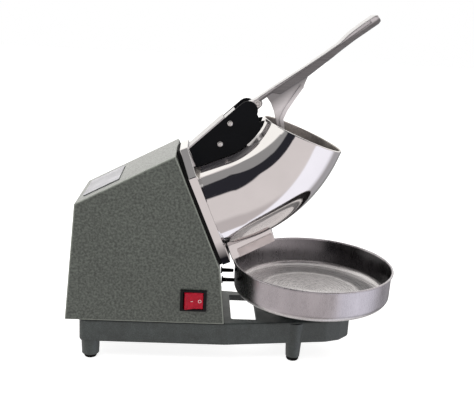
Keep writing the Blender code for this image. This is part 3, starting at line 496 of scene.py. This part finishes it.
# ---------------------------------------------------------------- mesh helpers
def smooth(mesh, angle=32.0):
    for face in mesh.polygons:
        face.use_smooth = True
    mesh.set_sharp_from_angle(angle=math.radians(angle))


def bevelled(obj, width, segments=3, angle=35.0):
    step = obj.modifiers.new("Edges", "BEVEL")
    step.width = width * MM
    step.segments = segments
    step.limit_method = "ANGLE"
    step.angle_limit = math.radians(angle)
    step.miter_outer = "MITER_ARC"
    even = obj.modifiers.new("Normals", "WEIGHTED_NORMAL")
    even.keep_sharp = True
    return obj


def piece(name, bm, material, body, stands_for=(), edge=None, angle=32.0):
    """A finished visible piece in the row frame, riding on a CAD body."""
    bmesh.ops.recalc_face_normals(bm, faces=bm.faces)
    if bm.calc_volume(signed=True) < 0:
        bmesh.ops.reverse_faces(bm, faces=bm.faces)
    mesh = bpy.data.meshes.new(name)
    bm.to_mesh(mesh)
    bm.free()
    obj = bpy.data.objects.new(name, mesh)
    bpy.context.scene.collection.objects.link(obj)
    mesh.materials.append(MATERIALS[material])
    if edge:
        for face in mesh.polygons:
            face.use_smooth = True
        bevelled(obj, edge)
    else:
        smooth(mesh, angle)
    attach(obj, body)
    if stands_for:
        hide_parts(*stands_for)
    return obj


def dress(names, material, edge=0.3, segments=2, angle=35.0):
    """Gives carried-over CAD nodes a material, softened edges and even shading."""
    for name in names:
        obj = NODES[name]
        mesh = obj.data
        if "custom_normal" in mesh.attributes:
            mesh.attributes.remove(mesh.attributes["custom_normal"])
        for face in mesh.polygons:
            face.use_smooth = True
        obj.material_slots[0].material = MATERIALS[material]
        weld = obj.modifiers.new("Weld", "WELD")
        weld.merge_threshold = 0.000005
        flat = obj.modifiers.new("Flat", "DECIMATE")
        flat.decimate_type = "DISSOLVE"
        flat.angle_limit = math.radians(0.4)
        bevelled(obj, edge, segments, angle)


def ring_of(bm, centre, first, second, radius, count):
    """One circle of vertices; first and second are its plane's axes."""
    return [
        bm.verts.new((centre + (first * math.cos(math.tau * i / count)
                                + second * math.sin(math.tau * i / count)) * radius) * MM)
        for i in range(count)
    ]


def skin(bm, rings, closed=False):
    """Quads between each ring and the next one."""
    pairs = list(zip(rings, rings[1:]))
    if closed:
        pairs.append((rings[-1], rings[0]))
    for low, high in pairs:
        for i in range(len(low)):
            bm.faces.new((low[i - 1], low[i], high[i], high[i - 1]))


def lathe(bm, profile, origin, axis, steps=160):
    """A profile of (radius, height) turned about an axis; a radius of 0 closes the end."""
    axis = axis.normalized()
    first = axis.orthogonal().normalized()
    second = axis.cross(first)
    rings = []
    for radius, height in profile:
        centre = origin + axis * height
        if radius < 1e-6:
            rings.append(bm.verts.new(centre * MM))
        else:
            rings.append(ring_of(bm, centre, first, second, radius, steps))
    for low, high in zip(rings, rings[1:]):
        if isinstance(low, bmesh.types.BMVert):
            for i in range(steps):
                bm.faces.new((low, high[i], high[i - 1]))
        elif isinstance(high, bmesh.types.BMVert):
            for i in range(steps):
                bm.faces.new((low[i - 1], low[i], high))
        else:
            skin(bm, [low, high])
    if not isinstance(rings[0], bmesh.types.BMVert) and not isinstance(
            rings[-1], bmesh.types.BMVert):
        skin(bm, [rings[-1], rings[0]])


def arc(centre, radius, start, end, steps):
    """Points (x, y) on an arc, angles in degrees."""
    return [
        (
            centre[0] + radius * math.cos(math.radians(start + (end - start) * i / steps)),
            centre[1] + radius * math.sin(math.radians(start + (end - start) * i / steps)),
        )
        for i in range(steps + 1)
    ]


def rounded(points, radii, steps=8):
    """An outline with each corner rounded to its radius."""
    out = []
    for i, corner in enumerate(points):
        radius = radii[i] if isinstance(radii, (list, tuple)) else radii
        here = Vector(corner)
        before = (Vector(points[i - 1]) - here).normalized()
        after = (Vector(points[(i + 1) % len(points)]) - here).normalized()
        half = before.angle(after) / 2
        reach = radius / math.tan(half)
        centre = here + (before + after).normalized() * (radius / math.sin(half))
        first = here + before * reach - centre
        sweep = first.angle_signed(here + after * reach - centre)
        for k in range(steps + 1):
            point = centre + Matrix.Rotation(-sweep * k / steps, 2) @ first
            out.append((point.x, point.y))
    return out


def prism(bm, outline, low, high, origin, first, second, depth, holes=()):
    """An outline (and round holes) pushed along depth; the frame's axes are unit vectors."""
    edges = []
    start = len(bm.faces)
    for loop in (outline, *holes):
        ring = [
            bm.verts.new((origin + first * a + second * b + depth * low) * MM) for a, b in loop
        ]
        edges += [bm.edges.new((ring[i - 1], ring[i])) for i in range(len(ring))]
    if holes:
        bmesh.ops.triangle_fill(bm, use_beauty=True, use_dissolve=True, edges=edges)
    else:
        bm.faces.new(ring)
    bm.faces.ensure_lookup_table()
    made = bmesh.ops.extrude_face_region(bm, geom=bm.faces[start:])
    verts = [item for item in made["geom"] if isinstance(item, bmesh.types.BMVert)]
    bmesh.ops.translate(bm, verts=verts, vec=depth * ((high - low) * MM))


def bake_modifiers(obj, angle):
    """Makes the evaluated mesh the object's own."""
    bpy.context.view_layer.update()
    graph = bpy.context.evaluated_depsgraph_get()
    mesh = bpy.data.meshes.new_from_object(obj.evaluated_get(graph))
    obj.modifiers.clear()
    obj.data = mesh
    smooth(mesh, angle)


def cut(obj, bm, angle):
    """Takes a closed shape out of a piece."""
    bmesh.ops.recalc_face_normals(bm, faces=bm.faces)
    mesh = bpy.data.meshes.new("cutter")
    bm.to_mesh(mesh)
    bm.free()
    cutter = bpy.data.objects.new("cutter", mesh)
    bpy.context.scene.collection.objects.link(cutter)
    step = obj.modifiers.new("Cut", "BOOLEAN")
    step.operation = "DIFFERENCE"
    step.solver = "EXACT"
    step.object = cutter
    bake_modifiers(obj, angle)
    bpy.data.objects.remove(cutter, do_unlink=True)


# ---------------------------------------------------------------- hopper
bend_centre = along(TUBE_STRAIGHT, -TUBE_BEND_R)


def hopper_path(steps):
    """(centre, outward direction in the side plane, share of the bend) along the hopper."""
    way = [(along(s), DOWN, 0.0) for s in (TUBE_STRAIGHT * k / 8 for k in range(8))]
    for i in range(steps + 1):
        angle = math.radians(TILT - 90 + TUBE_TURN * i / steps)
        out = Vector((math.cos(angle), 0.0, math.sin(angle)))
        way.append((bend_centre + out * TUBE_BEND_R, out, i / steps))
    last, out, share = way[-1]
    ahead = Vector((-out.z, 0.0, out.x))
    for k in (0.5, 0.8):
        way.append((last + ahead * (TUBE_MOUTH_STRAIGHT * k), out, share))
    return way, last, out, ahead


def build_hopper():
    """The elbow as one shell: outside, rounded rim, inside, and the inner lip at the plate."""
    bm = bmesh.new()
    way, last, out, ahead = hopper_path(BEND_STEPS)

    def radius_at(share):
        return TUBE_R + (TUBE_MOUTH_R - TUBE_R) * share

    rings = [
        ring_of(bm, centre, spoke, SIDE, radius_at(share), TUBE_SIDES)
        for centre, spoke, share in way
    ]
    rings.insert(0, ring_of(bm, along(JOINT_GAP), DOWN, SIDE, TUBE_R, TUBE_SIDES))
    half = TUBE_WALL / 2
    rim = last + ahead * (TUBE_MOUTH_STRAIGHT - half)
    for k in range(9):
        turn = math.pi * k / 8
        radius = TUBE_MOUTH_R - half + half * math.cos(turn)
        centre = rim + ahead * (half * math.sin(turn))
        rings.append(ring_of(bm, centre, out, SIDE, radius, TUBE_SIDES))
    for centre, spoke, share in reversed(way):
        if (centre - FACE).length > TUBE_LIP + 1.5:
            rings.append(ring_of(bm, centre, spoke, SIDE, radius_at(share) - TUBE_WALL, TUBE_SIDES))
    inner = TUBE_R - TUBE_WALL
    for depth, radius in ((TUBE_LIP + LIP_FILLET, inner), (TUBE_LIP, inner - LIP_FILLET),
                          (TUBE_LIP, TUBE_LIP_R + LIP_ROUND), (TUBE_LIP - LIP_ROUND, TUBE_LIP_R),
                          (JOINT_GAP, TUBE_LIP_R)):
        rings.append(ring_of(bm, along(depth), DOWN, SIDE, radius, TUBE_SIDES))
    skin(bm, rings, closed=True)
    hopper = piece("hopper_polished", bm, "hopper", "frame", ["hopper"],
                   angle=40)
    outlet = bmesh.new()
    prism(outlet, rounded(OUTLET, OUTLET_CORNER, 4), *OUTLET_ALONG, FACE, DOWN, SIDE, ALONG)
    cut(hopper, outlet, 40)


build_hopper()


# ---------------------------------------------------------------- front plate
def build_front_plate():
    """The cast plate, chamfered at its upper corners, with the shaft's hole."""
    shoulder = PLATE_TOP + PLATE_CHAMFER
    half = PLATE_HALF
    edge = [
        (PLATE_TOP, -half + PLATE_CHAMFER), (shoulder, -half), (PLATE_BOTTOM, -half),
        (PLATE_BOTTOM, half), (shoulder, half), (PLATE_TOP, half - PLATE_CHAMFER),
    ]
    hole = arc((0, 0), PLATE_HOLE_R, 0, 360 - 7.5, 47)
    bm = bmesh.new()
    prism(bm, rounded(edge, PLATE_CORNERS, 6), -PLATE_THICK, 0, FACE, DOWN, SIDE, ALONG, [hole])
    piece("front_plate_cast", bm, "plate", "frame", ["front_plate"],
          edge=0.9)


build_front_plate()


# ---------------------------------------------------------------- catch pan
def build_pan():
    """Spun pan: flat floor with a shallow ring and a centre dimple, curved heel, rolled rim."""
    low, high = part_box("catch_pan")
    centre = (low + high) / (2 * MM)
    bottom = low.z / MM
    rim_r = (high.x - low.x) / (2 * MM)
    rim_top = (high.z - low.z) / MM
    wall, bead, heel = PAN_WALL, PAN_BEAD, PAN_HEEL
    wall_r = rim_r - PAN_SHOULDER
    floor = wall
    inside = [
        (0, floor + 0.5), (3.0, floor + 0.45), (5.0, floor), (68.0, floor), (70.5, floor + 0.35),
        (72.5, floor + 0.9), (75.0, floor + 0.9), (77.0, floor + 0.35), (79.5, floor),
        (wall_r - wall - heel - 2.0, floor),
    ]
    heel_centre = (wall_r - wall - heel - 1.2, floor + heel)
    inside += [(r, h) for r, h in arc(heel_centre, heel, -88, -4, 12)]
    inside += [(wall_r - wall, rim_top - bead * 2)]
    rim = arc((rim_r - bead, rim_top - bead), bead, 190, -130, 18)
    outside = [(wall_r, rim_top - bead * 2 - 0.6)]
    outer_centre = (wall_r - heel - 2.0, heel + wall)
    outside += arc(outer_centre, heel + wall, -3, -88, 12)
    outside += [(0, 0)]
    bm = bmesh.new()
    lathe(bm, inside + rim + outside, Vector((centre.x, centre.y, bottom)), Vector((0, 0, 1)), 192)
    MATERIALS["spun"] = spun("spun_steel", (0.47, 0.45, 0.47), centre * MM,
                             (bottom + heel) * MM, wall_r * MM)
    piece("pan_spun", bm, "spun", "pan", ["catch_pan"], angle=45)


build_pan()


# ---------------------------------------------------------------- screws, bolt and nut
def head_screw(name, node, axis):
    """Domed screw head with a cross recess, on the seat where the CAD screw's head stands."""
    low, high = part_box(node)
    length = abs((high - low).dot(axis)) / MM
    top = (low + high) / (2 * MM) + axis * (length / 2)
    dome = [
        (SCREW_HEAD_R * math.sin(math.radians(a)),
         SCREW_HEAD * (math.cos(math.radians(a)) - 1) * SCREW_DOME)
        for a in range(0, 81, 10)
    ]
    bm = bmesh.new()
    lathe(bm, dome + [(SCREW_HEAD_R, -SCREW_HEAD * SCREW_DOME), (SCREW_HEAD_R, -SCREW_HEAD),
                      (SCREW_R, -SCREW_HEAD), (SCREW_R, -length), (0, -length)], top, axis, 48)
    screw = piece(name, bm, "chrome", "frame", [node], angle=35)
    side = axis.orthogonal().normalized()
    half = SCREW_HEAD_R * 0.5
    slot = [(-half, -RECESS_HALF), (half, -RECESS_HALF), (half, RECESS_HALF), (-half, RECESS_HALF)]
    for turn in (0.0, 90.0):
        across = Matrix.Rotation(math.radians(turn + SCREW_TURN), 3, axis) @ side
        recess = bmesh.new()
        prism(recess, slot, -RECESS_DEPTH, 2.0, top, across, axis.cross(across), axis)
        cut(screw, recess, 35)


for side, sign in (("near", -1), ("far", 1)):
    for number in (1, 2):
        head_screw(f"panel_screw_{side}_{number}", f"bracket_screw_{side}_{number}",
                   Vector((0, sign, 0)))

# ---------------------------------------------------------------- carried-over CAD nodes
dress(["housing_shell", "front_bulkhead"], "hammered", 0.35)
dress(["base_frame"], "casting", 0.6)
dress([n for n in NODES if n.startswith("foot_pad") or n in ("plate_gasket", "shaft_seal")],
      "rubber", 0.4)
dress(["pan_stop_near", "pan_stop_far"], "rubber", 0.2)
dress(["cord_gland", "cooling_fan", "switch_body"], "black_plastic", 0.25)
dress(["bracket_near", "bracket_far", "pan_pedestal"], "black_paint", 0.35)
for name in ("bracket_near", "bracket_far"):
    NODES[name].visible_glossy = False
dress(["hinge_block", "top_strap"], "satin", 0.3)
dress(["lever_handle"], "satin_lever", 0.35, 3)
dress(["ice_presser"], "satin_web", 0.5, 3)
dress(["discharge_spout"], "polished", 0.4)
dress(["spout_plate"], "pale", 0.15)
dress(["top_plate"], "label", 0.15)
dress(["rocker_button"], "red", 0.3, 3)
dress(["cross_bolt", "cross_nut"], "chrome", 0.25)
dress(["blade_1", "blade_2"], "blade", 0.1)
dress([n for n in NODES if n.startswith(("motor_bolt", "hopper_bolt", "blade_screw"))]
      + ["hinge_pin", "hub_nut", "motor_shaft", "cutter_disc", "front_bearing", "rear_bearing"],
      "steel", 0.2)
dress(["front_bell", "rear_bell"], "motor_cast", 0.4)
dress(["motor_case"], "motor_steel", 0.3)
dress(["rotor_core", "stator_core"], "iron", 0.3)


def build_rocker_marks():
    """The plain bar and ring on the rocker's two halves."""
    tilt = Matrix.Rotation(math.radians(ROCKER_TURN), 3, "Z")
    upright = Vector((0, 0, 1))
    ring, hole = (arc((0, 0), radius, 0, 352.5, 47) for radius in RING_RADII)
    for name, x, outline, holes in (("bar", BAR_AT, BAR, ()), ("ring", RING_AT, ring, (hole,))):
        slope = Vector((1.0, math.copysign(ROCKER_SLOPE, -x), 0.0)).normalized()
        spot = ROCKER_AT + tilt @ Vector((x, ROCKER_FACE - ROCKER_SLOPE * abs(x), MARK_HEIGHT))
        bm = bmesh.new()
        prism(bm, outline, *MARK_RELIEF, spot, tilt @ slope, upright,
              tilt @ slope.cross(upright), holes)
        piece(f"rocker_{name}_mark", bm, "white_ink", "rocker")


build_rocker_marks()


# ---------------------------------------------------------------- stage, light and camera
def build_stage():
    """A pale floor: white to the camera, dimmer to the object, and not seen in mirrors."""
    bm = bmesh.new()
    bmesh.ops.create_grid(bm, x_segments=4, y_segments=4, size=6.0)
    mesh = bpy.data.meshes.new("floor")
    bm.to_mesh(mesh)
    bm.free()
    floor = bpy.data.objects.new("floor", mesh)
    floor.location.z = -0.0002
    bpy.context.scene.collection.objects.link(floor)
    floor.visible_glossy = False
    paint = Paint("pale_floor", (0.6, 0.6, 0.6), 0.9, specular=0.0)
    paint.set("Emission Color", (1.0, 1.0, 1.0, 1.0))
    seen = paint.node("ShaderNodeLightPath").outputs["Is Camera Ray"]
    paint.feed("Emission Strength", paint.spread(seen, 0, 1, 0.05, 0.85))
    mesh.materials.append(paint.material)


# Studio cards as seen from the object: (azimuth from, to, elevation from, to, slant, softness,
# radiance). Azimuth 0 looks at the camera's side (-Y) and +90 along +X, in degrees; the slant
# moves a card's azimuth edges with each degree of elevation. Later cards lie over earlier ones.
BACKDROP = (0.80, 0.745, 0.74)
CARDS = [
    ("floor_front", -60, 40, -90, -32, 0.0, 6.0, (0.60, 0.55, 0.55)),
    ("floor_right", 29, 100, -90, -8, -0.15, 3.0, (1.12, 1.11, 1.20)),
    ("floor_far_right", 100, 160, -90, -8, 0.0, 16.0, (0.42, 0.41, 0.43)),
    ("back_wall", 110, 250, 2.5, 62, 0.0, 2.0, (1.1, 1.08, 1.04)),
    ("back_floor", 140, 220, -90, 2.0, 0.0, 2.0, (0.30, 0.30, 0.30)),
    ("left_box", -200, -49.5, -5, 90, -0.85, 1.2, (1.18, 1.16, 1.12)),
    ("grey_card", -96, -47, 2, 90, 0.0, 0.8, (0.33, 0.325, 0.325)),
    ("left_glow", -200, -49.5, -5, 62, -0.85, 2.6, (1.18, 1.16, 1.12)),
    ("flag", -48, -26, -3, 60, 0.0, 1.5, (0.026, 0.026, 0.033)),
    ("flag_top", -49, 60, 26, 62, 0.0, 2.0, (0.026, 0.026, 0.033)),
    ("ceiling", -47, 110, 62, 90, 0.0, 3.0, (0.7, 0.7, 0.69)),
]


def build_world():
    """Soft studio made of cards; the camera itself sees plain white."""
    world = bpy.data.worlds.new("studio")
    bpy.context.scene.world = world
    world.use_nodes = True
    tree = world.node_tree
    links = tree.links

    def math_node(operation, *values):
        made = tree.nodes.new("ShaderNodeMath")
        made.operation = operation
        for i, value in enumerate(values):
            if isinstance(value, bpy.types.NodeSocket):
                links.new(value, made.inputs[i])
            else:
                made.inputs[i].default_value = value
        return made.outputs[0]

    def ramp_up(value, edge, soft):
        made = tree.nodes.new("ShaderNodeMapRange")
        made.interpolation_type = "SMOOTHSTEP"
        made.inputs["From Min"].default_value = edge - soft
        made.inputs["From Max"].default_value = edge + soft
        links.new(value, made.inputs["Value"])
        return made.outputs[0]

    parts = tree.nodes.new("ShaderNodeSeparateXYZ")
    links.new(tree.nodes.new("ShaderNodeTexCoord").outputs["Generated"], parts.inputs[0])
    turn = math_node("ARCTAN2", parts.outputs[0], math_node("MULTIPLY", parts.outputs[1], -1.0))
    azimuth = math_node("MULTIPLY", turn, math.degrees(1))
    rise = math_node("MULTIPLY", math_node("ARCSINE", parts.outputs[2]), math.degrees(1))
    shade = None
    for _, start, end, low, high, slant, soft, radiance in CARDS:
        place = math_node("ADD", azimuth, math_node("MULTIPLY", rise, -slant))
        masks = []
        for shift in (0.0, 360.0, -360.0):
            if start < 180 + shift and end > -180 + shift:
                here = math_node("ADD", place, shift) if shift else place
                masks.append(math_node("MULTIPLY", ramp_up(here, start, soft), math_node(
                    "SUBTRACT", 1.0, ramp_up(here, end, soft))))
        mask = masks[0]
        for other in masks[1:]:
            mask = math_node("MAXIMUM", mask, other)
        mask = math_node("MULTIPLY", mask, ramp_up(rise, low, soft))
        mask = math_node("MULTIPLY", mask, math_node("SUBTRACT", 1.0, ramp_up(rise, high, soft)))
        mixed = tree.nodes.new("ShaderNodeMix")
        mixed.data_type = "RGBA"
        links.new(mask, mixed.inputs["Factor"])
        if shade:
            links.new(shade, mixed.inputs[6])
        else:
            mixed.inputs[6].default_value = (*BACKDROP, 1.0)
        mixed.inputs[7].default_value = (*radiance, 1.0)
        shade = mixed.outputs[2]
    seen = tree.nodes.new("ShaderNodeMix")
    seen.data_type = "RGBA"
    camera_ray = tree.nodes.new("ShaderNodeLightPath").outputs["Is Camera Ray"]
    links.new(camera_ray, seen.inputs["Factor"])
    links.new(shade, seen.inputs[6])
    seen.inputs[7].default_value = (1.0, 1.0, 1.0, 1.0)
    links.new(seen.outputs[2], tree.nodes["Background"].inputs["Color"])


def build_light(name, at, target, size, power):
    """A soft rectangular lamp that mirrors don't show."""
    data = bpy.data.lights.new(name, "AREA")
    data.shape = "RECTANGLE"
    data.size, data.size_y = size
    data.energy = power
    lamp = bpy.data.objects.new(name, data)
    bpy.context.scene.collection.objects.link(lamp)
    lamp.location = at
    lamp.visible_glossy = False
    lamp.rotation_euler = (Vector(target) - Vector(at)).to_track_quat("-Z", "Y").to_euler()


def build_camera():
    data = bpy.data.cameras.new("camera")
    data.lens = CAMERA_LENS
    data.sensor_width = 36.0
    data.sensor_fit = "HORIZONTAL"
    data.shift_x = CAMERA_SHIFT
    data.clip_start = 0.05
    data.clip_end = 50.0
    camera = bpy.data.objects.new("camera", data)
    bpy.context.scene.collection.objects.link(camera)
    ahead = (CAMERA_TARGET - CAMERA_AT).normalized()
    level = ahead.cross(Vector((0, 0, 1))).normalized()
    upright = level.cross(ahead)
    roll = math.radians(CAMERA_ROLL)
    right = level * math.cos(roll) + upright * math.sin(roll)
    up = upright * math.cos(roll) - level * math.sin(roll)
    matrix = Matrix((right, up, -ahead)).transposed().to_4x4()
    matrix.translation = CAMERA_AT * MM
    camera.matrix_world = matrix
    bpy.context.scene.camera = camera


build_stage()
build_world()
build_light("key", (-0.6, -0.9, 1.7), (0, 0, 0.2), (1.2, 0.8), 18.0)
build_camera()
bpy.context.scene.view_settings.view_transform = "Standard"
bpy.context.scene.view_settings.look = "None"
